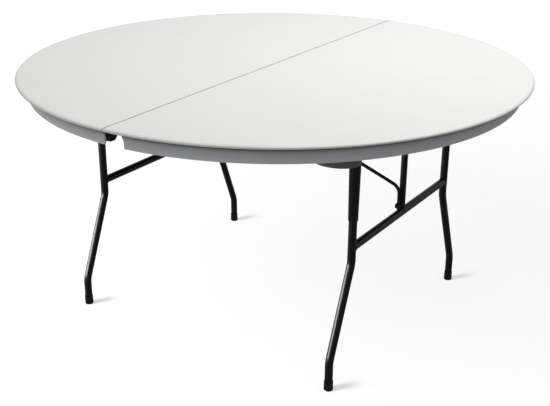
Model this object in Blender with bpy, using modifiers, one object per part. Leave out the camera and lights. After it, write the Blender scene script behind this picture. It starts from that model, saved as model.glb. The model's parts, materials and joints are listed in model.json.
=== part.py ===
"""Round folding table: two half-round tops on a seam rail, and two leg frames that fold in under them.

Metres, +Z up, origin on the floor under the centre. The seam runs along Y, the leg frames stand at
+X (right) and -X (left) of it, and -Y is the front. The left side is the right side turned half a
turn about Z, so every piece of a side is placed by one function under an empty turned by 0 or 180.
"""
import math

import bmesh
import bpy
from mathutils import Matrix, Vector

# Table top
TABLE_RADIUS = 0.750
TABLE_HEIGHT = 0.760
SHEET_THICKNESS = 0.004
SHEET_EDGE_ROUND = 0.0025
SEAM_GAP = 0.001
BOARD_THICKNESS = 0.0072
BOARD_INSET = 0.0275
SKIRT_INSET = 0.0015
SKIRT_DROP = 0.050
SKIRT_TAPER = 0.0305
SKIRT_WALL = 0.0045
SKIRT_FOOT = 0.002
FLANGE_THICKNESS = 0.0075
ROUND_STEPS = 96

# Notch in the skirt at each end of the seam: its sides lean, so it is given at the rim and below
NOTCH_NEAR_TOP = 0.0
NOTCH_NEAR_BOTTOM = -0.024
NOTCH_FAR_TOP = 0.055
NOTCH_FAR_BOTTOM = 0.037
NOTCH_DEPTH = 0.062

# Flat bar under the seam, the block under each of its ends, and their bolts
SEAM_BAR_WIDTH = 0.066
SEAM_BAR_THICKNESS = 0.003
SEAM_BAR_SETBACK = 0.030
SEAM_BOLT_SETBACK = 0.142
END_BLOCK_NEAR = -0.048
END_BLOCK_FAR = -0.004
END_BLOCK_SETBACK = 0.034
END_BLOCK_LENGTH = 0.026
END_BLOCK_CHAMFER = 0.010
END_BLOCK_HEIGHT = 0.0286
END_BLOCK_ROUND = 0.0015
BOLT_RADIUS = 0.003
BOLT_HEAD_RADIUS = 0.006
BOLT_HEAD_HEIGHT = 0.004
BOLT_BITE = 0.005
BOLT_OFFSET = 0.018

# Bracket and pin of each brace rod, on the seam bar a little way from the centre
BRACE_OFFSET = 0.150
BRACKET_LENGTH = 0.050
BRACKET_HALF_SPAN = 0.020
BRACKET_PLATE = 0.003
PIN_DROP = 0.051
PIN_RADIUS = 0.004
PIN_HEAD_RADIUS = 0.0065
PIN_HEAD_LENGTH = 0.003
EAR_HALF_WIDTH = 0.011
EAR_BELOW_PIN = 0.009

# Leg frames
FRAME_OFFSET = 0.440
PIVOT_DROP = 0.072
LEG_SPACING = 0.294
FOOT_SPACING = 0.397
KNEE_HEIGHT = 0.340
ANKLE_HEIGHT = 0.086
LEG_BEND_RADIUS = 0.070
TUBE_RADIUS = 0.0115
TUBE_WALL = 0.0016
POST_RADIUS = 0.0095
CROSS_BAR_HEIGHT = 0.386
COPE_SETBACK = 0.004
SLEEVE_TOP_RADIUS = 0.0165
SLEEVE_BOTTOM_RADIUS = 0.0135
SLEEVE_BOTTOM_HEIGHT = 0.465
SLEEVE_BELOW_PIVOT = 0.016
CAP_RADIUS = 0.0138
CAP_HEIGHT = 0.028
CAP_SOLE = 0.005
CAP_CHAMFER = 0.0015

# Hinge blocks: upright ovals outside the legs, cut flat on the side that faces the leg
BLOCK_BACKSET = 0.026
BLOCK_MIDDLE = 0.350
BLOCK_FACE = 0.314
BLOCK_REACH = 0.068
BLOCK_HALF_WIDTH = 0.0544
BLOCK_DRAFT = 0.008
BLOCK_DROP = 0.118
BLOCK_EDGE_ROUND = 0.004
BLOCK_FLANGE = 0.006
BLOCK_FLANGE_MARGIN = 0.016
PIVOT_END = 0.376
PIVOT_CLEARANCE = 0.0004

# Brace rods
ROD_RADIUS = 0.005
ROD_SIDE = 0.0155
ROD_BACKSET = 0.003
ROD_BEND_RISE = 0.0685
ROD_BEND_RADIUS = 0.035
EYE_RADIUS = 0.009
EYE_WIDTH = 0.014
CLIP_THICKNESS = 0.0015
CLIP_HEIGHT = 0.012
CLIP_ABOVE_BAR = 0.005
CLIP_POST_REACH = 0.006
CLIP_ARM_REACH = 0.012

# Space between pieces that rest on or fit into each other
GAP = 0.0003
TUBE_SIDES = 16
BORE_SIDES = 24
SMALL_SIDES = 12
OVAL_SIDES = 40

# Levels and places worked out from the sizes above
SHEET_BOTTOM = TABLE_HEIGHT - SHEET_THICKNESS
BOARD_TOP = SHEET_BOTTOM - GAP
BOARD_BOTTOM = BOARD_TOP - BOARD_THICKNESS
BOARD_RADIUS = TABLE_RADIUS - BOARD_INSET
BOLT_TOP = BOARD_BOTTOM + BOLT_BITE
SKIRT_BOTTOM = BOARD_TOP - SKIRT_DROP
UNDERSIDE = BOARD_TOP - FLANGE_THICKNESS - GAP
SEAM_BAR_BOTTOM = UNDERSIDE - SEAM_BAR_THICKNESS
PIN_HEIGHT = TABLE_HEIGHT - PIN_DROP
PIVOT_HEIGHT = TABLE_HEIGHT - PIVOT_DROP
ROD_FOOT_X = FRAME_OFFSET - ROD_BACKSET
BLOCK_X = FRAME_OFFSET - BLOCK_BACKSET
BAR_TOP = CROSS_BAR_HEIGHT + TUBE_RADIUS

X_AXIS = Vector((1, 0, 0))
Y_AXIS = Vector((0, 1, 0))
Z_AXIS = Vector((0, 0, 1))

for old in list(bpy.data.objects):
    bpy.data.objects.remove(old, do_unlink=True)
parts = bpy.data.collections.new("round_folding_table")
cutters = bpy.data.collections.new("cutters")
bpy.context.scene.collection.children.link(parts)
bpy.context.scene.collection.children.link(cutters)


def finish(name, colour, roughness, metallic):
    material = bpy.data.materials.new(name)
    material.use_nodes = True
    shader = material.node_tree.nodes["Principled BSDF"]
    shader.inputs["Base Color"].default_value = (*colour, 1)
    shader.inputs["Roughness"].default_value = roughness
    shader.inputs["Metallic"].default_value = metallic
    return material


PALE_SHEET = finish("pale_sheet", (0.72, 0.71, 0.69), 0.45, 0)
GREY_MOULDING = finish("grey_moulding", (0.16, 0.17, 0.175), 0.5, 0)
BLACK_STEEL = finish("black_steel", (0.012, 0.012, 0.013), 0.3, 0)
ZINC_STEEL = finish("zinc_steel", (0.45, 0.46, 0.47), 0.35, 1)
BLACK_RUBBER = finish("black_rubber", (0.015, 0.015, 0.016), 0.7, 0)


def add(name, mesh, material=None, parent=None):
    """Link a mesh as a named part, or as a cutter where it has no material."""
    thing = bpy.data.objects.new(name, mesh)
    (parts if material else cutters).objects.link(thing)
    if material:
        mesh.materials.append(material)
    else:
        thing.hide_render = True
        thing.display_type = "WIRE"
    thing.parent = parent
    return thing


def smooth(thing, angle=40):
    thing.data.shade_smooth()
    thing.data.set_sharp_from_angle(angle=math.radians(angle))


def boolean(thing, cutter, operation="DIFFERENCE"):
    modifier = thing.modifiers.new(cutter.name, "BOOLEAN")
    modifier.object = cutter
    modifier.operation = operation
    return modifier


def box_mesh(name, low, high):
    mesh = bpy.data.meshes.new(name)
    shape = bmesh.new()
    bmesh.ops.create_cube(shape, size=1)
    size = Vector(high) - Vector(low)
    middle = (Vector(high) + Vector(low)) / 2
    bmesh.ops.transform(shape, matrix=Matrix.Translation(middle) @ Matrix.Diagonal((*size, 1)),
                        verts=shape.verts)
    shape.to_mesh(mesh)
    shape.free()
    return mesh


def rod_mesh(name, start, end, radius, sides=TUBE_SIDES):
    """A round bar between two points."""
    start, end = Vector(start), Vector(end)
    mesh = bpy.data.meshes.new(name)
    shape = bmesh.new()
    bmesh.ops.create_cone(shape, cap_ends=True, segments=sides, radius1=radius, radius2=radius,
                          depth=(end - start).length)
    turn = Z_AXIS.rotation_difference(end - start).to_matrix().to_4x4()
    bmesh.ops.transform(shape, matrix=Matrix.Translation((start + end) / 2) @ turn, verts=shape.verts)
    shape.to_mesh(mesh)
    shape.free()
    return mesh


def join_meshes(name, meshes):
    """Several separate bodies in one mesh, for a set of like holes."""
    shape = bmesh.new()
    for mesh in meshes:
        shape.from_mesh(mesh)
    joined = bpy.data.meshes.new(name)
    shape.to_mesh(joined)
    shape.free()
    return joined


def turned(name, profile, closed, material, parent=None, steps=ROUND_STEPS, centre=(0, 0)):
    """Turn a profile of (radius, height) points about a vertical line through centre."""
    mesh = bpy.data.meshes.new(name)
    edges = [(i, i + 1) for i in range(len(profile) - 1)]
    if closed:
        edges.append((len(profile) - 1, 0))
    mesh.from_pydata([(radius, 0, height) for radius, height in profile], edges, [])
    thing = add(name, mesh, material, parent)
    thing.location = (*centre, 0)
    screw = thing.modifiers.new("turn", "SCREW")
    screw.steps = steps
    screw.render_steps = steps
    screw.use_merge_vertices = True
    screw.merge_threshold = 0.00001
    return thing


def curve_to_mesh(name, curve):
    """The mesh of a curve, with its caps welded on."""
    thing = bpy.data.objects.new(name, curve)
    parts.objects.link(thing)
    bpy.context.view_layer.update()
    evaluated = thing.evaluated_get(bpy.context.evaluated_depsgraph_get())
    mesh = bpy.data.meshes.new_from_object(evaluated)
    bpy.data.objects.remove(thing, do_unlink=True)
    mesh.materials.clear()
    shape = bmesh.new()
    shape.from_mesh(mesh)
    bmesh.ops.remove_doubles(shape, verts=shape.verts, dist=0.00001)
    shape.to_mesh(mesh)
    shape.free()
    return mesh


def bent_mesh(name, points, radius, resolution=6):
    """A round bar along a list of points."""
    curve = bpy.data.curves.new(name, "CURVE")
    curve.dimensions = "3D"
    curve.bevel_depth = radius
    curve.bevel_resolution = resolution
    curve.use_fill_caps = True
    spline = curve.splines.new("POLY")
    spline.points.add(len(points) - 1)
    for point, place in zip(spline.points, points):
        point.co = (*place, 1)
    return curve_to_mesh(name, curve)


def outline_mesh(name, outline, low, high, axes):
    """A flat outline made into a plate between low and high; axes are its two in-plane directions."""
    curve = bpy.data.curves.new(name, "CURVE")
    curve.dimensions = "2D"
    curve.fill_mode = "BOTH"
    curve.extrude = (high - low) / 2
    spline = curve.splines.new("POLY")
    spline.points.add(len(outline) - 1)
    for point, place in zip(spline.points, outline):
        point.co = (*place, 0, 1)
    spline.use_cyclic_u = True
    mesh = curve_to_mesh(name, curve)
    across, up = axes
    normal = across.cross(up)
    turn = Matrix((across, up, normal)).transposed().to_4x4()
    mesh.transform(Matrix.Translation(normal * (low + high) / 2) @ turn)
    return mesh


def rounded_path(corners, radius, steps=5):
    """The corners joined by straight runs, with an arc of the radius at each inner corner."""
    corners = [Vector(corner) for corner in corners]
    path = [corners[0]]
    for before, corner, after in zip(corners, corners[1:], corners[2:]):
        to_before = (before - corner).normalized()
        to_after = (after - corner).normalized()
        half = to_before.angle(to_after) / 2
        centre = corner + (to_before + to_after).normalized() * radius / math.sin(half)
        start = corner + to_before * radius / math.tan(half) - centre
        end = corner + to_after * radius / math.tan(half) - centre
        path += [centre + start.slerp(end, i / steps).normalized() * radius for i in range(steps + 1)]
    return path + [corners[-1]]


def along_z(x, y, low, high):
    return (x, y, low), (x, y, high)


def table_profile_ring():
    """Section of the skirt: a flange under the sheet and a wall that leans in towards its foot."""
    outer = TABLE_RADIUS - SKIRT_INSET
    foot = outer - SKIRT_TAPER
    lean = SKIRT_TAPER / SKIRT_DROP
    flange_bottom = BOARD_TOP - FLANGE_THICKNESS
    inner_top = outer - lean * FLANGE_THICKNESS - SKIRT_WALL
    return [
        (outer, BOARD_TOP),
        (foot + lean * SKIRT_FOOT, SKIRT_BOTTOM + SKIRT_FOOT),
        (foot - SKIRT_FOOT / 2, SKIRT_BOTTOM),
        (foot - SKIRT_WALL, SKIRT_BOTTOM),
        (inner_top, flange_bottom),
        (BOARD_RADIUS + GAP, flange_bottom),
        (BOARD_RADIUS + GAP, BOARD_TOP),
    ]


def sheet_profile():
    """Section of the table sheet, with a rounded upper edge."""
    arc = [math.radians(angle) for angle in (90, 60, 30, 0)]
    centre = (TABLE_RADIUS - SHEET_EDGE_ROUND, TABLE_HEIGHT - SHEET_EDGE_ROUND)
    edge = [(centre[0] + SHEET_EDGE_ROUND * math.cos(a), centre[1] + SHEET_EDGE_ROUND * math.sin(a))
            for a in arc]
    return [(0, TABLE_HEIGHT), *edge, (TABLE_RADIUS, SHEET_BOTTOM), (0, SHEET_BOTTOM)]


def bolt(name, x, y, seat, top, parent=None):
    """A screw that points up: its head under the seat and its shank up to top."""
    head_top = seat - GAP
    low = head_top - BOLT_HEAD_HEIGHT
    profile = [
        (0, top), (BOLT_RADIUS, top), (BOLT_RADIUS, head_top), (BOLT_HEAD_RADIUS, head_top),
        (BOLT_HEAD_RADIUS, low), (0, low),
    ]
    screw = turned(name, profile, False, ZINC_STEEL, parent, SMALL_SIDES, (x, y))
    smooth(screw)


def bolt_holes(name, places, low, top, parent=None):
    """Cutters for the shanks of the screws at the places."""
    holes = [rod_mesh(name, *along_z(x, y, low, top), BOLT_RADIUS + GAP, SMALL_SIDES)
             for x, y in places]
    return add(name, join_meshes(name, holes), parent=parent)


def half_table(side, turn):
    """One half of the top: the sheet, the board under it and the skirt, all cut at the seam."""
    reach = TABLE_RADIUS * 1.1
    half = add(f"half_{side}", box_mesh("half", (SEAM_GAP / 2, -reach, 0),
                                        (reach, reach, TABLE_HEIGHT * 2)), parent=turn)
    sheet = turned(f"table_sheet_{side}", sheet_profile(), False, PALE_SHEET)
    board = turned(f"underside_board_{side}", [
        (0, BOARD_TOP), (BOARD_RADIUS, BOARD_TOP), (BOARD_RADIUS, BOARD_BOTTOM), (0, BOARD_BOTTOM),
    ], False, GREY_MOULDING)
    skirt = turned(f"skirt_{side}", table_profile_ring(), True, GREY_MOULDING)
    for thing in (sheet, board, skirt):
        boolean(thing, half, "INTERSECT")
        smooth(thing)
    for notch in notches:
        boolean(board, notch)
        boolean(skirt, notch)
    return board


def notch_cutter(name, turn):
    """The wedge taken out of the skirts and boards at one end of the seam."""
    rise = BOARD_TOP - SKIRT_BOTTOM
    near_lean = (NOTCH_NEAR_TOP - NOTCH_NEAR_BOTTOM) / rise
    far_lean = (NOTCH_FAR_TOP - NOTCH_FAR_BOTTOM) / rise
    over = rise / 4
    outline = [
        (NOTCH_NEAR_BOTTOM - near_lean * over, SKIRT_BOTTOM - over),
        (NOTCH_FAR_BOTTOM - far_lean * over, SKIRT_BOTTOM - over),
        (NOTCH_FAR_TOP + far_lean * over, BOARD_TOP + over),
        (NOTCH_NEAR_TOP + near_lean * over, BOARD_TOP + over),
    ]
    start = TABLE_RADIUS - NOTCH_DEPTH
    mesh = outline_mesh(name, outline, start, TABLE_RADIUS + over, (X_AXIS, Z_AXIS))
    return add(name, mesh, parent=turn)


def seam_bar(boards):
    """The flat bar that joins the two halves, and its bolts."""
    half = SEAM_BAR_WIDTH / 2
    end = TABLE_RADIUS - SEAM_BAR_SETBACK
    bar = add("seam_bar", box_mesh("seam_bar", (-half, -end, SEAM_BAR_BOTTOM), (half, end, UNDERSIDE)),
              BLACK_STEEL)
    row = TABLE_RADIUS - SEAM_BOLT_SETBACK
    places = [(x, y) for y in (-row, 0, row) for x in (-BOLT_OFFSET, BOLT_OFFSET)]
    for number, (x, y) in enumerate(places, 1):
        bolt(f"seam_bolt_{number}", x, y, SEAM_BAR_BOTTOM, BOLT_TOP)
    holes = bolt_holes("seam_bolt_holes", places, SEAM_BAR_BOTTOM - BOLT_BITE, BOLT_TOP + GAP)
    for thing in (bar, *boards):
        boolean(thing, holes)
    return bar


def brace_bracket(side, turn, carriers):
    """The bracket under the seam bar that one brace rod hangs in, with its pin and bolts."""
    plate_top = SEAM_BAR_BOTTOM - GAP
    plate_bottom = plate_top - BRACKET_PLATE
    ear_foot = PIN_HEIGHT - EAR_BELOW_PIN
    low, high = -BRACE_OFFSET - BRACKET_HALF_SPAN, -BRACE_OFFSET + BRACKET_HALF_SPAN
    section = [
        (low, plate_top), (high, plate_top), (high, ear_foot), (high - BRACKET_PLATE, ear_foot),
        (high - BRACKET_PLATE, plate_bottom), (low + BRACKET_PLATE, plate_bottom),
        (low + BRACKET_PLATE, ear_foot), (low, ear_foot),
    ]
    half = BRACKET_LENGTH / 2
    bracket = add(f"brace_bracket_{side}",
                  outline_mesh("bracket", section, -half, half, (Y_AXIS, Z_AXIS)), BLACK_STEEL, turn)
    trims = []
    for sign in (-1, 1):
        near, far = sorted((sign * EAR_HALF_WIDTH, sign * BRACKET_LENGTH))
        trims.append(box_mesh("ear_trim", (near, low - half, ear_foot - half),
                              (far, high + half, plate_bottom - BRACKET_PLATE)))
    boolean(bracket, add(f"ear_trim_{side}", join_meshes("ear_trim", trims), parent=turn))
    bore = rod_mesh("pin_bore", (0, low - half, PIN_HEIGHT), (0, high + half, PIN_HEIGHT),
                    PIN_RADIUS + GAP, BORE_SIDES)
    boolean(bracket, add(f"pin_bore_{side}", bore, parent=turn))
    ends = [(low - GAP, low - GAP - PIN_HEAD_LENGTH), (high + GAP, high + GAP + PIN_HEAD_LENGTH)]
    pin = add(f"brace_pin_{side}", rod_mesh("brace_pin", (0, ends[0][1], PIN_HEIGHT),
                                            (0, ends[1][1], PIN_HEIGHT), PIN_RADIUS), ZINC_STEEL, turn)
    for number, (start, end) in enumerate(ends, 1):
        head = rod_mesh("pin_head", (0, start, PIN_HEIGHT), (0, end, PIN_HEIGHT), PIN_HEAD_RADIUS)
        boolean(pin, add(f"pin_head_{number}_{side}", head, parent=turn), "UNION")
    places = [(x, -BRACE_OFFSET) for x in (-BOLT_OFFSET, BOLT_OFFSET)]
    for number, (x, y) in enumerate(places, 1):
        bolt(f"bracket_bolt_{number}_{side}", x, y, plate_bottom, BOLT_TOP, turn)
    holes = bolt_holes(f"bracket_bolt_holes_{side}", places, plate_bottom - BOLT_BITE,
                       BOLT_TOP + GAP, turn)
    for thing in (bracket, *carriers):
        boolean(thing, holes)


def end_block(name, turn, carriers):
    """The moulded block under one end of the seam bar, which shows through the notch."""
    outer = TABLE_RADIUS - END_BLOCK_SETBACK
    inner = outer - END_BLOCK_LENGTH
    top = SEAM_BAR_BOTTOM - GAP
    bottom = top - END_BLOCK_HEIGHT
    foot = inner + END_BLOCK_CHAMFER
    section = [(-outer, top), (-outer, bottom), (-foot, bottom), (-inner, bottom + END_BLOCK_CHAMFER),
               (-inner, top)]
    mesh = outline_mesh("end_block", section, END_BLOCK_NEAR, END_BLOCK_FAR, (Y_AXIS, Z_AXIS))
    block = add(f"seam_end_block_{name}", mesh, BLACK_RUBBER, turn)
    bevel = block.modifiers.new("soft edges", "BEVEL")
    bevel.width = END_BLOCK_ROUND
    bevel.segments = 2
    bevel.limit_method = "ANGLE"
    # The bolt goes into the board that the notch leaves whole
    place = ((END_BLOCK_NEAR + END_BLOCK_FAR) / 2, -(outer + foot) / 2)
    bolt(f"end_bolt_{name}", *place, bottom, BOLT_TOP, turn)
    holes = bolt_holes(f"end_bolt_hole_{name}", [place], bottom - BOLT_BITE, BOLT_TOP + GAP, turn)
    for thing in (block, *carriers):
        boolean(thing, holes)


def oval_mesh(name, middle, foot_reach, top_reach, low, high):
    """An upright oval at a hinge block's place, from its half lengths along X at its foot and top."""
    mesh = bpy.data.meshes.new(name)
    shape = bmesh.new()
    bmesh.ops.create_cone(shape, cap_ends=True, segments=OVAL_SIDES, radius1=foot_reach,
                          radius2=top_reach, depth=high - low)
    place = Matrix.Translation((BLOCK_X, middle, (low + high) / 2))
    squeeze = Matrix.Diagonal((1, BLOCK_HALF_WIDTH / BLOCK_REACH, 1, 1))
    bmesh.ops.transform(shape, matrix=place @ squeeze, verts=shape.verts)
    shape.to_mesh(mesh)
    shape.free()
    return mesh


def hinge_block(name, sign, turn, board):
    """A moulded block outside one leg, with the pivot tube's bore and a screwed flange."""
    middle = sign * BLOCK_MIDDLE
    low = TABLE_HEIGHT - BLOCK_DROP
    flange_bottom = UNDERSIDE - BLOCK_FLANGE
    top_reach = BLOCK_REACH + BLOCK_DRAFT
    rim = top_reach + BLOCK_FLANGE_MARGIN
    block = add(name, oval_mesh("block", middle, BLOCK_REACH, top_reach, low, UNDERSIDE),
                GREY_MOULDING, turn)
    bevel = block.modifiers.new("soft edges", "BEVEL")
    bevel.width = BLOCK_EDGE_ROUND
    bevel.segments = 2
    bevel.limit_method = "ANGLE"
    flange = oval_mesh("flange", middle, rim, rim, flange_bottom, UNDERSIDE)
    boolean(block, add(f"flange_{name}", flange, parent=turn), "UNION")
    near, far = sorted((0, sign * BLOCK_FACE))
    face = box_mesh("face", (BLOCK_X - 2 * rim, near, low - rim), (BLOCK_X + 2 * rim, far, TABLE_HEIGHT))
    boolean(block, add(f"face_{name}", face, parent=turn))
    mouth = sign * (BLOCK_FACE - BLOCK_FLANGE_MARGIN)
    depth = sign * (PIVOT_END + 2 * PIVOT_CLEARANCE)
    bore = rod_mesh("bore", (FRAME_OFFSET, mouth, PIVOT_HEIGHT), (FRAME_OFFSET, depth, PIVOT_HEIGHT),
                    TUBE_RADIUS + PIVOT_CLEARANCE, BORE_SIDES)
    boolean(block, add(f"bore_{name}", bore, parent=turn))
    screw_reach = top_reach + BLOCK_FLANGE_MARGIN / 2
    places = [(BLOCK_X + side * screw_reach, middle) for side in (-1, 1)]
    for number, (x, y) in enumerate(places, 1):
        bolt(f"screw_{number}_{name}", x, y, flange_bottom, BOLT_TOP, turn)
    holes = bolt_holes(f"holes_{name}", places, low, BOLT_TOP + GAP, turn)
    boolean(block, holes)
    boolean(board, holes)


def named_ends(side):
    """The ends of a side and the sign of local Y there, which the half turn swaps on the left."""
    front = -1 if side == "right" else 1
    return (("front", front), ("back", -front))


def hollow(thing, name, path, radius, parent, resolution=6):
    """Cut a bar's bore out of it; the path runs past both ends."""
    boolean(thing, add(name, bent_mesh(name, path, radius, resolution), parent=parent))


def leg_frame(side, turn):
    """Two bent legs on a pivot tube, with a cross bar, a centre post, a sleeve, feet and the clip."""
    pivot = bpy.data.objects.new(f"leg_fold_{side}", None)
    parts.objects.link(pivot)
    pivot.parent = turn
    pivot.location = (FRAME_OFFSET, 0, PIVOT_HEIGHT)
    bpy.context.view_layer.update()
    drop = -PIVOT_HEIGHT
    knee = KNEE_HEIGHT + drop
    ankle = ANKLE_HEIGHT + drop
    bar = CROSS_BAR_HEIGHT + drop
    over = TUBE_RADIUS
    tube = add(f"pivot_tube_{side}", rod_mesh("pivot_tube", (0, -PIVOT_END, 0), (0, PIVOT_END, 0),
                                              TUBE_RADIUS, BORE_SIDES), BLACK_STEEL, pivot)
    hollow_bar = rod_mesh("tube_bore", (0, -PIVOT_END - over, 0), (0, PIVOT_END + over, 0),
                          TUBE_RADIUS - TUBE_WALL, BORE_SIDES)
    boolean(tube, add(f"tube_bore_{side}", hollow_bar, parent=pivot))
    smooth(tube)
    saddle = add(f"pivot_saddle_{side}", rod_mesh("saddle", (0, -PIVOT_END, 0), (0, PIVOT_END, 0),
                                                  TUBE_RADIUS + GAP, BORE_SIDES), parent=pivot)
    # A tube's end stays short of the axis of the tube that it is shaped to, for a blunt edge
    bar_end = LEG_SPACING - COPE_SETBACK
    cross = add(f"cross_bar_{side}", rod_mesh("cross_bar", (0, -bar_end, bar), (0, bar_end, bar),
                                              TUBE_RADIUS), BLACK_STEEL, pivot)
    bar_bore = rod_mesh("bar_bore", (0, -LEG_SPACING - over, bar), (0, LEG_SPACING + over, bar),
                        TUBE_RADIUS - TUBE_WALL)
    boolean(cross, add(f"bar_bore_{side}", bar_bore, parent=pivot))
    bar_saddle = add(f"bar_saddle_{side}", rod_mesh("bar_saddle", (0, -LEG_SPACING, bar),
                                                    (0, LEG_SPACING, bar), TUBE_RADIUS + GAP),
                     parent=pivot)
    smooth(cross)
    post = add(f"centre_post_{side}", rod_mesh("post", (0, 0, bar), (0, 0, 0), POST_RADIUS),
               BLACK_STEEL, pivot)
    post_bore = rod_mesh("post_bore", (0, 0, bar - over), (0, 0, over), POST_RADIUS - TUBE_WALL)
    boolean(post, add(f"post_bore_{side}", post_bore, parent=pivot))
    boolean(post, saddle)
    boolean(post, bar_saddle)
    smooth(post)
    for end, sign in named_ends(side):
        tag = f"{end}_{side}"
        top_y, foot_y = sign * LEG_SPACING, sign * FOOT_SPACING
        sole = drop + CAP_SOLE + GAP
        corners = [(0, top_y, -COPE_SETBACK), (0, top_y, knee), (0, foot_y, ankle), (0, foot_y, sole)]
        leg = add(f"leg_{tag}", bent_mesh("leg", rounded_path(corners, LEG_BEND_RADIUS), TUBE_RADIUS),
                  BLACK_STEEL, pivot)
        inner = [(0, top_y, over), *corners[1:3], (0, foot_y, sole - over)]
        hollow(leg, f"leg_bore_{tag}", rounded_path(inner, LEG_BEND_RADIUS),
               TUBE_RADIUS - TUBE_WALL, pivot, 4)
        boolean(leg, saddle)
        smooth(leg)
        leg_saddle = add(f"leg_saddle_{tag}", rod_mesh("leg_saddle", (0, top_y, bar - 2 * over),
                                                       (0, top_y, bar + 2 * over), TUBE_RADIUS + GAP),
                         parent=pivot)
        boolean(cross, leg_saddle)
        inside = TUBE_RADIUS + GAP
        cap = turned(f"foot_cap_{tag}", [
            (0, drop + CAP_SOLE), (inside, drop + CAP_SOLE), (inside, drop + CAP_HEIGHT),
            (CAP_RADIUS, drop + CAP_HEIGHT), (CAP_RADIUS, drop + CAP_CHAMFER),
            (CAP_RADIUS - CAP_CHAMFER, drop), (0, drop),
        ], False, BLACK_RUBBER, pivot, BORE_SIDES, (0, foot_y))
        smooth(cap)
        if sign < 0:
            leg_sleeve(tag, top_y, inside, pivot)
    brace_clip(side, pivot)


def leg_sleeve(tag, leg_y, inside, pivot):
    """The tapered sleeve round the top of the leg on the brace rod's side of the frame."""
    top = -SLEEVE_BELOW_PIVOT
    low = SLEEVE_BOTTOM_HEIGHT - PIVOT_HEIGHT
    sleeve = turned(f"leg_sleeve_{tag}", [
        (SLEEVE_TOP_RADIUS, top), (SLEEVE_BOTTOM_RADIUS, low), (inside, low), (inside, top),
    ], True, BLACK_STEEL, pivot, BORE_SIDES, (0, leg_y))
    smooth(sleeve)


def brace_clip(side, pivot):
    """A J-shaped strip behind the centre post that the foot of the brace rod snaps into."""
    web = -POST_RADIUS - GAP
    arm = -ROD_SIDE - ROD_RADIUS - GAP
    thick = CLIP_THICKNESS
    outline = [
        (web, CLIP_POST_REACH), (web - thick, CLIP_POST_REACH), (web - thick, arm - thick),
        (web + CLIP_ARM_REACH, arm - thick), (web + CLIP_ARM_REACH, arm), (web, arm),
    ]
    low = BAR_TOP + CLIP_ABOVE_BAR - PIVOT_HEIGHT
    mesh = outline_mesh("clip", outline, low, low + CLIP_HEIGHT, (X_AXIS, Y_AXIS))
    add(f"brace_clip_{side}", mesh, BLACK_STEEL, pivot)


def brace_rod(side, turn):
    """A rod from its pin to the foot of the post, with an eye at the pin."""
    pivot = bpy.data.objects.new(f"brace_swing_{side}", None)
    parts.objects.link(pivot)
    pivot.parent = turn
    pivot.location = (0, 0, PIN_HEIGHT)
    bpy.context.view_layer.update()
    bend = BAR_TOP + ROD_BEND_RISE - PIN_HEIGHT
    foot = BAR_TOP + GAP - PIN_HEIGHT
    corners = [(0, -BRACE_OFFSET, 0), (ROD_FOOT_X, -ROD_SIDE, bend), (ROD_FOOT_X, -ROD_SIDE, foot)]
    rod = add(f"brace_rod_{side}", bent_mesh("rod", rounded_path(corners, ROD_BEND_RADIUS, 7),
                                             ROD_RADIUS, 4), BLACK_STEEL, pivot)
    low, high = -BRACE_OFFSET - EYE_WIDTH / 2, -BRACE_OFFSET + EYE_WIDTH / 2
    eye = add(f"eye_{side}", rod_mesh("eye", (0, low, 0), (0, high, 0), EYE_RADIUS, BORE_SIDES),
              parent=pivot)
    boolean(rod, eye, "UNION")
    bore = rod_mesh("eye_bore", (0, low - EYE_WIDTH, 0), (0, high + EYE_WIDTH, 0), PIN_RADIUS + GAP,
                    BORE_SIDES)
    boolean(rod, add(f"eye_bore_{side}", bore, parent=pivot))
    smooth(rod)


turns = {}
for side_name, turn_degrees in (("right", 0), ("left", 180)):
    turns[side_name] = bpy.data.objects.new(f"turn_{side_name}", None)
    parts.objects.link(turns[side_name])
    turns[side_name].rotation_euler.z = math.radians(turn_degrees)
bpy.context.view_layer.update()

notches = [notch_cutter(f"notch_{name}", empty) for name, empty in turns.items()]
half_boards = {name: half_table(name, empty) for name, empty in turns.items()}
centre_bar = seam_bar(half_boards.values())
carriers = [centre_bar, *half_boards.values()]
for side_name, end_name in (("right", "front"), ("left", "back")):
    end_block(end_name, turns[side_name], carriers)
for side_name, empty in turns.items():
    brace_bracket(side_name, empty, carriers)
    leg_frame(side_name, empty)
    brace_rod(side_name, empty)
    for end_name, end_sign in named_ends(side_name):
        hinge_block(f"hinge_block_{end_name}_{side_name}", end_sign, empty, half_boards[side_name])
bpy.context.view_layer.update()
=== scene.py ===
"""A round folding banquet table: pale two-part top, dark tapered skirt and black bent-tube legs."""
import json
import math

import bmesh
import bpy
import numpy as np
from mathutils import Matrix, Vector


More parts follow.
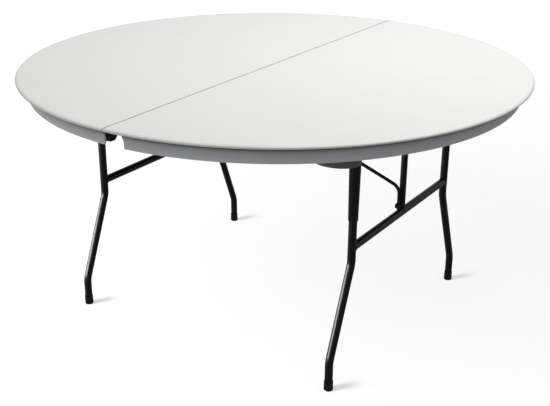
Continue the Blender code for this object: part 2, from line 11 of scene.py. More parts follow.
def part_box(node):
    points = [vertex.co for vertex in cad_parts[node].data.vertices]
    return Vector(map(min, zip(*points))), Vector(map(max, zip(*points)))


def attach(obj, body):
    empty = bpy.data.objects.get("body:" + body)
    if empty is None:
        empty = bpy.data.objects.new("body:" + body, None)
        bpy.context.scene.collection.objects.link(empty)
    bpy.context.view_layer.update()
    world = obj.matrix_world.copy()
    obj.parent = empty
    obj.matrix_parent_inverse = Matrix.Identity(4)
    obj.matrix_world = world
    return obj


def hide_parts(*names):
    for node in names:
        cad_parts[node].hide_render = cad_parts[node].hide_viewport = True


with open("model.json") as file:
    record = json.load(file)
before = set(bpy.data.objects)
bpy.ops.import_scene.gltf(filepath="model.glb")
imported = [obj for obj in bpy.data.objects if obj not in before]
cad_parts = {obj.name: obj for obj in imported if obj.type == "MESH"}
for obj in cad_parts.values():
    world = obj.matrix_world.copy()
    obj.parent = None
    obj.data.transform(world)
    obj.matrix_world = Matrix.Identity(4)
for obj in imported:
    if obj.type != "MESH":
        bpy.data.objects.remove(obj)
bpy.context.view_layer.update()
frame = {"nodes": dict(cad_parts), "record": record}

# The studio. A camera at the photograph's height and distance looks down on the table from its
# front right, and a pale floor runs out past the edges of the view. The camera's place comes from
# lining the rim, the seam and the feet up with the photograph.
scene = bpy.context.scene
scene.view_settings.view_transform = "Standard"
PHOTO_WIDTH = 550
FOCAL_LENGTH_PIXELS = 963.7
SENSOR_MM = 36
VIEW_TURN = math.radians(33.074)
VIEW_DROP = math.radians(22.659)
VIEW_ROLL = math.radians(0.406)
EYE = Vector((1.5316, -2.3458, 1.4796))
VIEW_REACH = 60

lens = bpy.data.cameras.new("photo_camera")
lens.sensor_width = SENSOR_MM
lens.lens = FOCAL_LENGTH_PIXELS * SENSOR_MM / PHOTO_WIDTH
lens.clip_end = VIEW_REACH
camera = bpy.data.objects.new("photo_camera", lens)
scene.collection.objects.link(camera)
backward = Vector((math.sin(VIEW_TURN) * math.cos(VIEW_DROP), -math.cos(VIEW_TURN) * math.cos(VIEW_DROP),
                   math.sin(VIEW_DROP)))
level = Vector((math.cos(VIEW_TURN), math.sin(VIEW_TURN), 0))
upward = backward.cross(level)
rightward = math.cos(VIEW_ROLL) * level + math.sin(VIEW_ROLL) * upward
upward = backward.cross(rightward)
camera.matrix_world = (Matrix.Translation(EYE)
                       @ Matrix((rightward, upward, backward)).transposed().to_4x4())
scene.camera = camera


class Wire:
    """A value in a material; arithmetic on it adds Math nodes."""

    def __init__(self, finish, socket):
        self.finish = finish
        self.socket = socket

    def maths(self, operation, first, second):
        node = self.finish.node("ShaderNodeMath", {"operation": operation}, {0: first, 1: second})
        return self.finish.wire(node)

    def __add__(self, other):
        return self.maths("ADD", self, other)

    def __sub__(self, other):
        return self.maths("SUBTRACT", self, other)

    def __rsub__(self, other):
        return self.maths("SUBTRACT", other, self)

    def __mul__(self, other):
        return self.maths("MULTIPLY", self, other)

    __radd__ = __add__
    __rmul__ = __mul__


class Finish:
    """A node material round one Principled shader, patterned on object coordinates."""

    def __init__(self, name, colour, roughness, **shader):
        self.material = bpy.data.materials.new(name)
        self.material.use_nodes = True
        self.tree = self.material.node_tree
        self.shader = self.tree.nodes["Principled BSDF"]
        self.shader.inputs["Base Color"].default_value = (*colour, 1)
        self.shader.inputs["Roughness"].default_value = roughness
        for socket, value in shader.items():
            self.shader.inputs[socket.replace("_", " ")].default_value = value
        self.place = self.wire(self.node("ShaderNodeTexCoord", {}, {}), "Object")

    def node(self, kind, settings, sockets):
        """Any node: its settings first, then the values or wires of its sockets."""
        made = self.tree.nodes.new(kind)
        for setting, value in settings.items():
            if setting == "stops":
                for stop, (position, shade) in zip(made.color_ramp.elements, value):
                    stop.position = position
                    stop.color = (shade, shade, shade, 1)
            else:
                setattr(made, setting, value)
        for key, value in sockets.items():
            if isinstance(value, Wire):
                self.tree.links.new(value.socket, made.inputs[key])
            else:
                made.inputs[key].default_value = value
        return made

    def wire(self, node, output=0):
        return Wire(self, node.outputs[output])

    def feed(self, socket, wire):
        self.tree.links.new(wire.socket, self.shader.inputs[socket])

    def noise(self, scale, detail=2.0):
        """Noise of so many lumps a metre, about 0.5."""
        sockets = {"Vector": self.place, "Scale": scale, "Detail": detail}
        return self.wire(self.node("ShaderNodeTexNoise", {}, sockets))

    def dimples(self, rate):
        """The sine of x times the sine of y, each times the rate: from 0, in two rows of round spots,
        to 1 between them."""
        apart = self.node("ShaderNodeSeparateXYZ", {}, {"Vector": self.place})
        waves = [(self.wire(apart, axis) * rate).maths("SINE", self.wire(apart, axis) * rate, 0.0)
                 for axis in ("X", "Y")]
        return 1.0 - (waves[0] * waves[1]).maths("ABSOLUTE", waves[0] * waves[1], 0.0)

    def ramp(self, value, low, high):
        """0 below low, 1 above high."""
        settings = {"stops": ((low, 0.0), (high, 1.0))}
        return self.wire(self.node("ShaderNodeValToRGB", settings, {"Fac": value}))

    def mixed(self, mask, first, second):
        """The first colour where the mask is 0, the second where it is 1."""
        node = self.node("ShaderNodeMix", {"data_type": "RGBA"}, {0: mask, 6: first, 7: second})
        return self.wire(node, 2)

    def raised(self, height, depth, strength=1.0):
        """Bump: the height, 0 to 1, stands for so many metres."""
        bump = self.node("ShaderNodeBump", {}, {"Height": height, "Distance": depth,
                                                "Strength": strength})
        self.feed("Normal", self.wire(bump))


def rgb(red, green, blue):
    return (red, green, blue, 1)


SMOOTH_ANGLE = 35
WELD_DISTANCE = 0.000002


def show(name, mesh, finish, angle=SMOOTH_ANGLE):
    """A finished piece: its mesh shaded smooth up to an angle, with its material."""
    thing = bpy.data.objects.new(name, mesh)
    scene.collection.objects.link(thing)
    mesh.shade_smooth()
    mesh.set_sharp_from_angle(angle=math.radians(angle))
    mesh.materials.append(finish.material)
    return thing


def skin(name, grid, caps=True):
    """A skin from rows of rings: each ring joins its last point to its first, and the first and last
    rings are filled flat where there are caps. Points that meet are welded, so rings that shrink to
    a point close a pole, and the faces are turned outwards."""
    rows, columns = grid.shape[:2]
    corner = np.arange(rows * columns).reshape(rows, columns)
    after = np.roll(corner, -1, axis=1)
    quads = np.stack([corner[:-1], after[:-1], after[1:], corner[1:]], -1).reshape(-1, 4).tolist()
    if caps:
        quads += [corner[0][::-1].tolist(), corner[-1].tolist()]
    mesh = bpy.data.meshes.new(name)
    mesh.from_pydata(grid.reshape(-1, 3).tolist(), [], quads)
    shape = bmesh.new()
    shape.from_mesh(mesh)
    bmesh.ops.remove_doubles(shape, verts=shape.verts, dist=WELD_DISTANCE)
    bmesh.ops.recalc_face_normals(shape, faces=shape.faces)
    shape.to_mesh(mesh)
    shape.free()
    return mesh


# The floor: one round pale sheet with a dull face. Its glow, for the camera alone, makes it white,
# and rises with the distance from the middle, where its lamp fades.
FLOOR_REACH = 14
FLOOR_GREY = 0.5
FLOOR_GLOW = 0.53
FAR_GLOW = 0.27
FADE_START, FADE_END = 0.12, 0.5
floor_finish = Finish("white_floor", (FLOOR_GREY, FLOOR_GREY, FLOOR_GREY), 0.8, Specular_IOR_Level=0.1)
rays = floor_finish.node("ShaderNodeLightPath", {}, {})
distance = floor_finish.node("ShaderNodeVectorMath", {"operation": "LENGTH"}, {0: floor_finish.place})
far_off = floor_finish.ramp(floor_finish.wire(distance, "Value") * 0.1, FADE_START, FADE_END)
whiteness = floor_finish.wire(rays, "Is Camera Ray") * (far_off * FAR_GLOW + FLOOR_GLOW)
glow = floor_finish.node("ShaderNodeEmission", {}, {"Color": rgb(1, 1, 1), "Strength": whiteness})
both = floor_finish.node("ShaderNodeAddShader", {}, {})
floor_finish.tree.links.new(floor_finish.shader.outputs[0], both.inputs[0])
floor_finish.tree.links.new(glow.outputs[0], both.inputs[1])
floor_output = floor_finish.tree.nodes["Material Output"]
floor_finish.tree.links.new(both.outputs[0], floor_output.inputs["Surface"])
floor_finish.feed("Roughness", floor_finish.noise(3.0) * 0.1 + 0.75)
turn = np.linspace(0, 2 * np.pi, 64, endpoint=False)
rings = np.array([FLOOR_REACH, 4.0, 1.5, 0.0])[:, None]
floor_grid = np.stack([rings * np.cos(turn), rings * np.sin(turn), 0 * rings * turn], -1)
floor = show("studio_floor", skin("studio_floor", floor_grid, caps=False), floor_finish)

# The room is white to the camera and in gloss and glass, and lights the table more softly.
world = bpy.data.worlds.new("soft_white_room")
scene.world = world
world.use_nodes = True
room = world.node_tree.nodes["Background"]
room.inputs["Color"].default_value = rgb(1, 1, 1)
LIGHT_ROOM = 0.42
BACKDROP = 1.0
paths = world.node_tree.nodes.new("ShaderNodeLightPath")
seen = world.node_tree.nodes.new("ShaderNodeMath")
seen.operation = "MAXIMUM"
seen_through = world.node_tree.nodes.new("ShaderNodeMath")
seen_through.operation = "MAXIMUM"
level_of_light = world.node_tree.nodes.new("ShaderNodeMapRange")
world.node_tree.links.new(paths.outputs["Is Camera Ray"], seen.inputs[0])
world.node_tree.links.new(paths.outputs["Is Glossy Ray"], seen.inputs[1])
world.node_tree.links.new(seen.outputs[0], seen_through.inputs[0])
world.node_tree.links.new(paths.outputs["Is Transmission Ray"], seen_through.inputs[1])
world.node_tree.links.new(seen_through.outputs[0], level_of_light.inputs["Value"])
level_of_light.inputs["To Min"].default_value = LIGHT_ROOM
level_of_light.inputs["To Max"].default_value = BACKDROP
world.node_tree.links.new(level_of_light.outputs[0], room.inputs["Strength"])


def softbox(name, place, width, height, power):
    """A rectangular lamp that faces the middle of the table."""
    lamp = bpy.data.lights.new(name, "AREA")
    lamp.shape = "RECTANGLE"
    lamp.size = width
    lamp.size_y = height
    lamp.energy = power
    box = bpy.data.objects.new(name, lamp)
    scene.collection.objects.link(box)
    box.location = place
    box.rotation_euler = (Vector((0, 0, 0.4)) - Vector(place)).to_track_quat("-Z", "Y").to_euler()
    return box


def linked(name, things, state="INCLUDE"):
    """A collection that a lamp lights or leaves out, or that alone blocks its light."""
    group = bpy.data.collections.new(name)
    for thing in things:
        group.objects.link(thing)
    for member in group.collection_objects:
        member.light_linking.link_state = state
    return group


# The floor is left out of the table's lamps and has one of its own, so that the wide shadow of the
# table top fades out and the small ones beside the feet stay.
not_the_floor = linked("not_the_floor", [floor], "EXCLUDE")
for lamp in (softbox("overhead_softbox", (0.6, 0.6, 3.0), 1.6, 1.6, 41),
             softbox("front_softbox", (-1.6, -4.0, 1.7), 1.2, 1.2, 6)):
    lamp.light_linking.receiver_collection = not_the_floor
# The low lamp only makes the streaks of gloss on the slanted stretches of the legs.
low_lamp = softbox("low_softbox", (-2.0, -2.5, 0.55), 3.2, 0.8, 420)
low_lamp.visible_diffuse = False
floor_lamp = softbox("floor_softbox", (-3.8, -5.9, 2.5), 2.8, 2.0, 1080)
floor_lamp.light_linking.receiver_collection = linked("only_the_floor", [floor])

# The two table sheets. Each is half a disc of pale warm grey laminate with a fine leather grain,
# bonded on top of its half of the table. Its rim is rolled over into a lip, and its seam edge is
# rounded over.
SHEET_NODE = {"right": "table_sheet_right", "left": "table_sheet_left"}
sheet_low, sheet_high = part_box(SHEET_NODE["right"])
sheet_radius = sheet_high.x
seam_half = sheet_low.x
RIM_ROUND = 0.0058
RIM_REACH = 0.014
LIP_DROP = 0.004
LIP_WIDTH = 0.0068
LIP_ROUND = 0.0015
SEAM_ROUND = 0.0009
SEAM_SETBACK = 0.0014
ARC_POINTS = 288
SIDE_POINTS = 96
HALF_TURN = {"right": np.array([1, 1, 1]), "left": np.array([-1, -1, 1])}


def half_outline(rim_inset, seam_inset):
    """Round a half disc: its arc by angle from front to back, then the seam side back to the front,
    both drawn in by their insets."""
    radius = sheet_radius - rim_inset
    straight = seam_half + SEAM_SETBACK + seam_inset
    reach = math.acos(straight / radius)
    angle = np.linspace(-reach, reach, ARC_POINTS)
    arc = radius * np.stack([np.cos(angle), np.sin(angle)], 1)
    side = np.linspace(arc[-1], arc[0], SIDE_POINTS)[1:-1]
    return np.concatenate([arc, side])


def sheet_grid():
    """Rings from under the sheet, round the lip that hangs at its rim, up over a quarter circle and
    in over the flat to the middle. The seam side has no lip and a quarter circle of its own."""
    lip = np.linspace(0, math.pi / 2, 5)
    over = np.linspace(0, math.pi / 2, 9)
    low, high = sheet_low.z, sheet_high.z
    still = 0 * lip
    rim_inset = np.concatenate([[LIP_WIDTH, LIP_WIDTH], LIP_ROUND * (1 - np.sin(lip)),
                                RIM_REACH * (1 - np.cos(over))])
    rim_height = np.concatenate([[low, low - LIP_DROP], low - LIP_DROP + LIP_ROUND * (1 - np.cos(lip)),
                                 high - RIM_ROUND * (1 - np.sin(over))])
    seam_inset = np.concatenate([[0, 0], still, SEAM_ROUND * (1 - np.cos(over))])
    seam_height = np.concatenate([[low, low], still + low, high - SEAM_ROUND * (1 - np.sin(over))])
    on_arc = np.arange(ARC_POINTS + SIDE_POINTS - 2) < ARC_POINTS
    rings = [np.column_stack([half_outline(rim, seam), np.where(on_arc, rim_z, seam_z)])
             for rim, seam, rim_z, seam_z in zip(rim_inset, seam_inset, rim_height, seam_height)]
    middle_point = np.array([sheet_radius * 0.42, 0, high])
    inward = [middle_point + (rings[-1] - middle_point) * share for share in (0.9, 0.6, 0.3, 0.06)]
    return np.array(rings + inward)


laminate = Finish("pale_laminate", (0.78, 0.772, 0.752), 0.42, Specular_IOR_Level=0.4)
# The colour darkens down the rolled rim, which stands for the shade there in the photograph
mottle = laminate.noise(9.0, 3.0)
speck = laminate.noise(900.0, 1.0)
speckled = laminate.mixed(mottle * 0.5 + speck * 0.5, rgb(0.77, 0.763, 0.745), rgb(0.832, 0.826, 0.81))
sheet_z = laminate.wire(laminate.node("ShaderNodeSeparateXYZ", {}, {"Vector": laminate.place}), "Z")
up_the_rim = (sheet_z - (sheet_low.z - LIP_DROP)) * (1 / (sheet_high.z - sheet_low.z + LIP_DROP))
rim_light = laminate.ramp(up_the_rim + mottle * 0.1, 0.05, 0.95)
laminate.feed("Base Color", laminate.mixed(rim_light, rgb(0.27, 0.272, 0.27), speckled))
laminate.feed("Roughness", laminate.noise(14.0, 4.0) * 0.18 + 0.34)
laminate.raised(laminate.noise(1400.0, 2.0), 0.00012, 0.35)
for half, flip in HALF_TURN.items():
    sheet = show(f"laminate_{half}", skin(f"laminate_{half}", sheet_grid() * flip), laminate)
    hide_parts(SHEET_NODE[half])
    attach(sheet, "table")

# The seam strip: a dark soft strip in the joint between the two sheets, a little below their faces.
# Its dark colour is painted shade: it stands for the shade in the gap between the sheets.
STRIP_HALF = 0.0017
STRIP_DEPTH = 0.0012
STRIP_CROWN = 0.0003
seam_shade_finish = Finish("seam_shade_strip", (0.02, 0.02, 0.021), 0.7, Specular_IOR_Level=0.2)
seam_shade_finish.feed("Roughness", seam_shade_finish.noise(300.0, 2.0) * 0.2 + 0.6)


def strip_grid():
    """A flat box section, crowned on top, carried along the seam."""
    top = sheet_high.z - STRIP_DEPTH
    section = np.array([[-STRIP_HALF, sheet_low.z], [STRIP_HALF, sheet_low.z],
                        [STRIP_HALF, top - STRIP_CROWN], [0, top], [-STRIP_HALF, top - STRIP_CROWN]])
    along = np.linspace(-1, 1, 41)[:, None] * (sheet_radius - 2 * RIM_ROUND)
    return np.stack([section[:, 0] + 0 * along, along + 0 * section[:, 0], section[:, 1] + 0 * along], -1)


strip = show("seam_shade_strip", skin("seam_shade_strip", strip_grid()), seam_shade_finish)
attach(strip, "table")

# The skirts. Each is a half ring of dark grey moulded plastic with a fine spark-eroded grain,
# under the rim of its sheet. Its wall leans in towards its foot, and its ends are cut away in a
# wedge at the seam, on opposite sides at the front and at the back.
skirt_low, skirt_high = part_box("skirt_right")
skirt_radius = skirt_high.x
SKIRT_WALL = 0.0045
SKIRT_FLANGE = 0.0075
SKIRT_LEAN = 0.0305
FOOT_ROUND = 0.0018
NOTCH_FAR = (0.055, 0.037)
NOTCH_NEAR = (0.0, 0.024)
BOARD_PLAY = 0.0003
FLANGE_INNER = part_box("underside_board_right")[1].x + BOARD_PLAY
GROOVE_DEPTH = 0.009
GROOVE_HEIGHT = 0.0085
GROOVE_TILT = 0.0008
FOOT_START = 0.2
SKIRT_POINTS = 289
COVE = 1.5


def skirt_section():
    """The closed section as radius and height: the shadow groove under the sheet, down the leaning
    outer face, round the foot, up the inner face and in along the flange."""
    top, foot = skirt_high.z, skirt_low.z
    foot_radius = skirt_radius - SKIRT_LEAN
    down = np.linspace(GROOVE_HEIGHT / (top - foot), 1, 17)
    lean = SKIRT_LEAN * (1 - (1 - down) ** COVE)
    height = top + (foot + FOOT_ROUND - top) * down
    lip = skirt_radius - lean[0]
    groove = np.array([[skirt_radius - GROOVE_DEPTH, top], [lip - GROOVE_DEPTH, height[0] + GROOVE_TILT]])
    outer = np.column_stack([skirt_radius - lean, height])
    sweep = np.linspace(FOOT_START, math.pi - FOOT_START, 6)
    half_wall = SKIRT_WALL / 2
    rounded = np.column_stack([foot_radius - half_wall + half_wall * np.cos(sweep),
                               foot + FOOT_ROUND * (1 - np.sin(sweep))])
    flange_foot = top - SKIRT_FLANGE
    inside = outer[::-1] - np.array([SKIRT_WALL, 0])
    inner = np.append(inside[inside[:, 1] < flange_foot], [[np.interp(flange_foot, inside[:, 1],
                                                                      inside[:, 0]), flange_foot]], axis=0)
    flange = np.array([[FLANGE_INNER, flange_foot], [FLANGE_INNER, top]])
    return np.concatenate([groove, outer, rounded, inner, flange])


def skirt_grid():
    """The section carried round the rim between the two slanted cuts: at each height the cut lies
    at its own distance from the seam, so each point of the section has its own range of angle."""
    section = skirt_section()
    drop = (skirt_high.z - section[:, 1]) / (skirt_high.z - skirt_low.z)
    far = NOTCH_FAR[0] + (NOTCH_FAR[1] - NOTCH_FAR[0]) * drop
    near = np.maximum(seam_half, NOTCH_NEAR[0] + (NOTCH_NEAR[1] - NOTCH_NEAR[0]) * drop)
    first, last = -np.arccos(far / section[:, 0]), np.arccos(near / section[:, 0])
    angle = first + (last - first) * np.linspace(0, 1, SKIRT_POINTS)[:, None]
    return np.stack([section[:, 0] * np.cos(angle), section[:, 0] * np.sin(angle),
                     section[:, 1] + 0 * angle], -1)


moulding = Finish("grey_moulding", (0.2, 0.205, 0.21), 0.5, Specular_IOR_Level=0.35)
# The colour pales towards the foot and darkens under the rim, as the shade does in the photograph
skirt_z = moulding.wire(moulding.node("ShaderNodeSeparateXYZ", {}, {"Vector": moulding.place}), "Z")
rise = (skirt_z - skirt_low.z) * (1 / (skirt_high.z - skirt_low.z))
foot_light = 1.0 - moulding.ramp(rise + moulding.noise(30.0, 3.0) * 0.16, 0.08, 0.82)
rim_shade = moulding.ramp(rise, 0.62, 0.86)
cloudy = moulding.mixed(moulding.noise(40.0, 4.0) * 0.6 + moulding.noise(700.0, 1.0) * 0.4,
                        rgb(0.175, 0.183, 0.192), rgb(0.235, 0.245, 0.256))
paled = moulding.mixed(foot_light, cloudy, rgb(0.395, 0.407, 0.424))
moulding.feed("Base Color", moulding.mixed(rim_shade, paled, rgb(0.09, 0.094, 0.1)))
moulding.feed("Roughness", moulding.noise(60.0, 3.0) * 0.16 + 0.42)
moulding.raised(moulding.noise(1100.0, 2.0), 0.0002, 0.5)
for half, flip in HALF_TURN.items():
    skirt = show(f"skirt_moulding_{half}", skin(f"skirt_moulding_{half}", skirt_grid() * flip), moulding)
    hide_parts(f"skirt_{half}")
    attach(skirt, "table")

# The underside boards, seam bar, end blocks, brackets, pins and clips keep their built shapes. The
# boards are the skirts' plastic with rows of moulded dimples. The bar, brackets and clips are black
# coated steel, the pins are zinc plated and the end blocks are rubber.
DIMPLE_RATE = 100.0
board_finish = Finish("dimpled_board", (0.2, 0.205, 0.21), 0.5, Specular_IOR_Level=0.35)
board_finish.feed("Base Color", board_finish.mixed(
    board_finish.noise(18.0, 3.0), rgb(0.17, 0.176, 0.182), rgb(0.25, 0.256, 0.262)))
board_finish.feed("Roughness", board_finish.noise(60.0, 3.0) * 0.16 + 0.42)
board_finish.raised(board_finish.ramp(board_finish.dimples(DIMPLE_RATE), 0.35, 0.75), 0.0022, 0.9)
black_coat = Finish("black_powder_coat", (0.003, 0.0031, 0.0035), 0.24, Specular_IOR_Level=0.12)
black_coat.feed("Roughness", black_coat.noise(90.0, 3.0) * 0.14 + 0.2)
black_coat.feed("Base Color", black_coat.mixed(
    black_coat.noise(25.0, 4.0), rgb(0.001, 0.0011, 0.0013), rgb(0.004, 0.0042, 0.0047)))
black_coat.raised(black_coat.noise(420.0, 2.0), 0.00004, 0.2)
zinc = Finish("zinc_plate", (0.5, 0.51, 0.52), 0.32, Metallic=1.0)
zinc.feed("Base Color", zinc.mixed(zinc.noise(160.0, 3.0), rgb(0.4, 0.41, 0.43), rgb(0.6, 0.6, 0.58)))
zinc.feed("Roughness", zinc.noise(300.0, 2.0) * 0.2 + 0.25)
rubber = Finish("black_rubber", (0.005, 0.005, 0.0055), 0.65, Specular_IOR_Level=0.15)
rubber.feed("Base Color", rubber.mixed(rubber.noise(120.0, 4.0), rgb(0.003, 0.003, 0.0033),
                                       rgb(0.009, 0.009, 0.0095)))
rubber.feed("Roughness", rubber.noise(200.0, 2.0) * 0.2 + 0.55)
SLOT_FINISH = {"grey_moulding": moulding, "black_steel": black_coat, "zinc_steel": zinc,
               "black_rubber": rubber, "pale_sheet": laminate}
for subpart in frame["record"]["subparts"]:
    kept = frame["nodes"][subpart["node"]].data
    kept.materials.clear()
    board = subpart["node"].startswith("underside_board")
    kept.materials.append((board_finish if board else SLOT_FINISH[subpart["material_slot"]]).material)

# The legs. Each is one 23 mm steel tube, bent outwards below the cross bar and upright again above
# the floor, coated gloss black. Its top is cut to the pivot tube that it is welded to.
leg_low, leg_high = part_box("leg_front_right")
tube_radius = (leg_high.x - leg_low.x) / 2
frame_x = (leg_high.x + leg_low.x) / 2
foot_y = -(leg_low.y + tube_radius)
leg_y = -(leg_high.y - tube_radius)
pivot_low, pivot_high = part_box("pivot_tube_right")
pivot_height = (pivot_low.z + pivot_high.z) / 2
KNEE_HEIGHT = 0.340
ANKLE_HEIGHT = 0.086
LEG_BEND_RADIUS = 0.070
TUBE_SIDES = 40
POST_SIDES = 32


def bent_path(corners, radius, arc_points=14, run_points=8):
    """Straight runs between the corners with an arc of the radius at each inner one; an arc's point
    is its centre plus the radius times a unit vector turned evenly from one run's to the next."""
    corners = [np.array(corner, float) for corner in corners]
    start = corners[0]
    path = []
    for before, corner, after in zip(corners, corners[1:], corners[2:]):
        back = (before - corner) / np.linalg.norm(before - corner)
        ahead = (after - corner) / np.linalg.norm(after - corner)
        half = math.acos(back @ ahead) / 2
        bisector = (back + ahead) / np.linalg.norm(back + ahead)
        centre = corner + bisector * radius / math.sin(half)
        first = corner + back * radius / math.tan(half)
        last = corner + ahead * radius / math.tan(half)
        path.append(np.linspace(start, first, run_points, endpoint=False))
        turn_angle = math.pi - 2 * half
        share = np.linspace(0, 1, arc_points)[:, None]
        spread = (np.sin((1 - share) * turn_angle) * (first - centre)
                  + np.sin(share * turn_angle) * (last - centre)) / math.sin(turn_angle)
        path.append((centre + spread)[:-1])
        start = last
    path.append(np.linspace(start, corners[-1], run_points))
    return np.concatenate(path)


def swept(path, radius, across, sides=TUBE_SIDES):
    """A round bar along a flat path: at each point a circle spanned by across, the normal of the
    path's plane, and the direction square to across and to the path."""
    along = np.gradient(path, axis=0)
    along /= np.linalg.norm(along, axis=1)[:, None]
    across = np.array(across, float)
    square = np.cross(along, across)
    angle = np.linspace(0, 2 * np.pi, sides, endpoint=False)[None, :, None]
    radius = np.broadcast_to(radius, (len(path),))[:, None, None]
    return path[:, None] + radius * (np.cos(angle) * across + np.sin(angle) * square[:, None])


def saddled(grid, row, axis_height, side):
    """Move a ring on to the round of a level tube along Y at the frame's offset: its height is the
    tube's axis, plus or minus the height of the tube's circle at the ring's own x."""
    ring = grid[row]
    reach = np.sqrt(np.maximum(tube_radius ** 2 - (ring[:, 0] - frame_x) ** 2, 0))
    ring[:, 2] = axis_height + side * reach
    return grid


def leg_grid(end):
    """A bent tube from the pivot tube to the foot; end is -1 at the front and 1 at the back."""
    corners = [(frame_x, end * leg_y, pivot_height - tube_radius), (frame_x, end * leg_y, KNEE_HEIGHT),
               (frame_x, end * foot_y, ANKLE_HEIGHT), (frame_x, end * foot_y, leg_low.z)]
    grid = swept(bent_path(corners, LEG_BEND_RADIUS), tube_radius, (1, 0, 0))
    return saddled(grid, 0, pivot_height, -1)


# The turned half swaps front and back, so its pieces are named by where they stand
PLACES = []
tubes = []
for half, flip in HALF_TURN.items():
    PLACES += [("front", half, -flip[1], flip), ("back", half, flip[1], flip)]
for end, half, sign, flip in PLACES:
    tag = f"{end}_{half}"
    leg = show(f"leg_tube_{tag}", skin(f"leg_tube_{tag}", leg_grid(sign) * flip), black_coat)
    tubes.append(leg)
    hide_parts(f"leg_{tag}")
    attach(leg, f"{half}_leg_frame")

# The pivot tubes, cross bars and centre posts of the two frames: straight steel tubes, each cut to
# the round of the tube that it is welded to.
bar_low, bar_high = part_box("cross_bar_right")
bar_height = (bar_low.z + bar_high.z) / 2
post_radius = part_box("centre_post_right")[1].y
BAR_SHORT = 0.004
END_ROUND = 0.0015


def pivot_grid():
    """A straight tube along Y, its ends rounded over by a quarter circle."""
    sweep = np.linspace(0, math.pi / 2, 5)
    rounded = END_ROUND * (1 - np.cos(sweep))
    shrunk = END_ROUND * (1 - np.sin(sweep))
    along = np.linspace(pivot_low.y + END_ROUND, pivot_high.y - END_ROUND, 40)[1:-1]
    places = np.concatenate([pivot_low.y + rounded, along, (pivot_high.y - rounded)[::-1]])
    inset = np.concatenate([shrunk, 0 * along, shrunk[::-1]])
    path = np.stack([0 * places + frame_x, places, 0 * places + pivot_height], 1)
    return swept(path, tube_radius - inset, (1, 0, 0))


def cross_bar_grid():
    """A straight tube between the legs; the y of an end ring is the leg's axis less the height of
    the leg's circle at the ring's x."""
    along = np.linspace(-leg_y, leg_y, 25)
    path = np.stack([0 * along + frame_x, along, 0 * along + bar_height], 1)
    grid = swept(path, tube_radius, (1, 0, 0))
    for row, side in ((0, -1), (-1, 1)):
        reach = np.sqrt(np.maximum(tube_radius ** 2 - (grid[row][:, 0] - frame_x) ** 2, BAR_SHORT ** 2))
        grid[row][:, 1] = side * (leg_y - reach)
    return grid


def post_grid():
    """An upright tube between the cross bar and the pivot tube, saddled on both."""
    rise = np.linspace(bar_height + tube_radius, pivot_height - tube_radius, 13)
    path = np.stack([0 * rise + frame_x, 0 * rise, rise], 1)
    grid = swept(path, post_radius, (1, 0, 0), POST_SIDES)
    return saddled(saddled(grid, 0, bar_height, 1), -1, pivot_height, -1)


for half, flip in HALF_TURN.items():
    for name, grid in (("pivot_tube", pivot_grid()), ("cross_bar", cross_bar_grid()),
                       ("centre_post", post_grid())):
        tube = show(f"steel_{name}_{half}", skin(f"steel_{name}_{half}", grid * flip), black_coat)
        tubes.append(tube)
        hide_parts(f"{name}_{half}")
        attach(tube, f"{half}_leg_frame")

low_lamp.light_linking.receiver_collection = linked("leg_tubes", tubes)

# The weld beads: a rippled fillet run round each joint between two tubes, under the black coat.
BEAD_RADIUS = 0.0017
BEAD_POINTS = 96
RIPPLES = 30
RIPPLE_SWELL = 0.13
SADDLE_SHARE = 0.97


def bead_grid(curve):
    """A round bead along a closed curve: its radius swells with a sine of the way round, and its ring
    is spanned by the direction out from the curve's middle and the one square to it."""
    way = np.linspace(0, 2 * np.pi, BEAD_POINTS, endpoint=False)
    along = np.roll(curve, -1, axis=0) - np.roll(curve, 1, axis=0)
    along /= np.linalg.norm(along, axis=1)[:, None]
    out = curve - curve.mean(axis=0)
    out -= along * (along * out).sum(1)[:, None]
    out /= np.linalg.norm(out, axis=1)[:, None]
    square = np.cross(along, out)
    angle = np.linspace(0, 2 * np.pi, 10, endpoint=False)[None, :, None]
    radius = (BEAD_RADIUS * (1 + RIPPLE_SWELL * np.sin(RIPPLES * way)))[:, None, None]
    grid = curve[:, None] + radius * (np.cos(angle) * out[:, None] + np.sin(angle) * square[:, None])
    return np.concatenate([grid, grid[:1]])


def joint_curves(leg_sign):
    """Where two round tubes cross, one coordinate is the axis distance less the height of the other
    tube's circle: at a leg's top, a cross bar's end, and the two ends of the post."""
    way = np.linspace(0, 2 * np.pi, BEAD_POINTS, endpoint=False)
    wide, thin = tube_radius * np.cos(way), post_radius * np.cos(way)
    rise = np.sqrt(tube_radius ** 2 - SADDLE_SHARE * wide ** 2)
    thin_rise = np.sqrt(tube_radius ** 2 - thin ** 2)
    leg_top = np.stack([frame_x + wide, leg_sign * leg_y + tube_radius * np.sin(way),
                        pivot_height - rise], 1)
    bar_end = np.stack([frame_x + wide, leg_sign * (leg_y - rise),
                        bar_height + tube_radius * np.sin(way)], 1)
    post_foot = np.stack([frame_x + thin, post_radius * np.sin(way), bar_height + thin_rise], 1)
    post_top = np.stack([frame_x + thin, post_radius * np.sin(way), pivot_height - thin_rise], 1)
    return {"leg_top": leg_top, "bar_end": bar_end, "post_foot": post_foot, "post_top": post_top}


for end, half, sign, flip in PLACES:
    curves = joint_curves(sign)
    kept_curves = ["leg_top", "bar_end"] + (["post_foot", "post_top"] if end == "front" else [])
    for joint in kept_curves:
        name = f"weld_{joint}_{end}_{half}"
        bead = show(name, skin(name, bead_grid(curves[joint]) * flip, caps=False), black_coat, 60)
        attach(bead, f"{half}_leg_frame")

